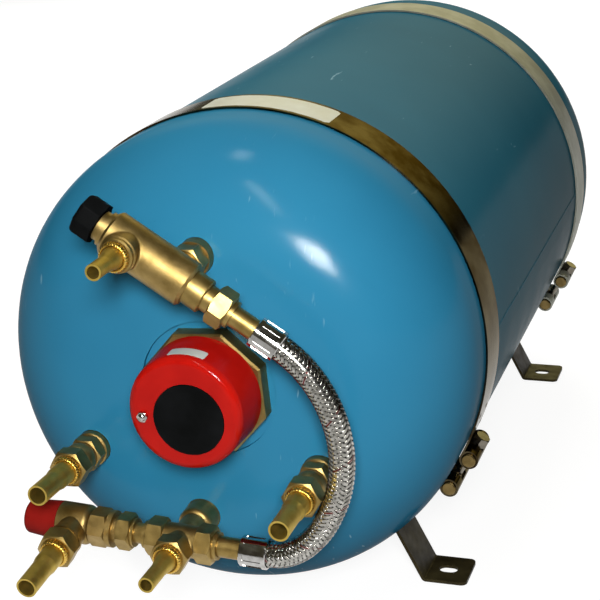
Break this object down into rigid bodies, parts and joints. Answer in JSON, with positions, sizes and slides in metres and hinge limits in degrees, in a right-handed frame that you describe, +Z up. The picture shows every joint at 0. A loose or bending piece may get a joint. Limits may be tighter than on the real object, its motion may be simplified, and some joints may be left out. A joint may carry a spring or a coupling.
{
  "type": "horizontal calorifier",
  "caption": "Horizontal insulated hot water tank with domed ends on strap feet, with an immersion heater, mixing valve, relief valve and braided hose on its front end.",
  "frame": {"origin": "on the floor, midway between the four foot slots", "axes": "+X to the right seen from the fittings, +Y along the tank away from the fittings, +Z up"},
  "size_m": [0.3636, 0.8177, 0.3778],
  "materials": {
    "jacket_blue": "gloss",
    "strap_steel": "polished",
    "clamp_zinc": "yellow zinc",
    "screw_steel": "satin",
    "foot_steel": "satin",
    "brass": "satin",
    "cap_red": "gloss",
    "relief_red": "satin",
    "black_plastic": "satin",
    "chrome": "polished",
    "braid_steel": "woven"
  },
  "bodies": {
    "tank": {"body_jacket": "jacket_blue", "braided_hose": "braid_steel", "cold_boss": "brass", "cold_cross": "brass", "cold_feed_nut": "brass", "cold_feed_tail": "brass", "cross_hose_nut": "brass", "cross_relief_nut": "brass", "front_band": "strap_steel", "front_band_clamp": "clamp_zinc", "front_band_screw": "screw_steel", "front_end": "jacket_blue", "front_left_foot": "foot_steel", "front_right_foot": "foot_steel", "heater_cap": "cap_red", "heater_cap_disc": "black_plastic", "heater_cap_nut": "chrome", "heater_flange": "brass", "hose_lower_ferrule": "chrome", "hose_lower_stub": "brass", "hose_upper_ferrule": "chrome", "hose_upper_stub": "brass", "hot_boss": "brass", "hot_union_nut": "brass", "left_coil_boss": "brass", "left_coil_nut": "brass", "left_coil_tail": "brass", "mixed_outlet_nut": "brass", "mixed_outlet_tail": "brass", "mixer_cold_adapter": "brass", "mixer_cold_nut": "brass", "mixing_valve_body": "brass", "mixing_valve_neck": "brass", "rear_band": "strap_steel", "rear_band_clamp": "clamp_zinc", "rear_band_screw": "screw_steel", "rear_end": "jacket_blue", "rear_left_foot": "foot_steel", "rear_right_foot": "foot_steel", "relief_outlet_nut": "brass", "relief_outlet_tail": "brass", "relief_union": "brass", "relief_valve_body": "brass", "right_coil_boss": "brass", "right_coil_nut": "brass", "right_coil_tail": "brass"},
    "mixer_knob": {"mixing_valve_knob": "black_plastic"},
    "relief_cap": {"relief_valve_cap": "relief_red"}
  },
  "joints": [
    {"name": "mixer_knob_turn", "type": "hinge", "parent": "tank", "child": "mixer_knob", "pos_m": [-0.05636, -0.385, 0.33389], "axis": [-0.8406, 0, 0.5417], "range_deg": [-135, 135]},
    {"name": "relief_cap_turn", "type": "hinge", "parent": "tank", "child": "relief_cap", "pos_m": [-0.11431, -0.385, 0.10407], "axis": [-0.9984, 0, 0.0558], "range_deg": [0, 90]}
  ]
}
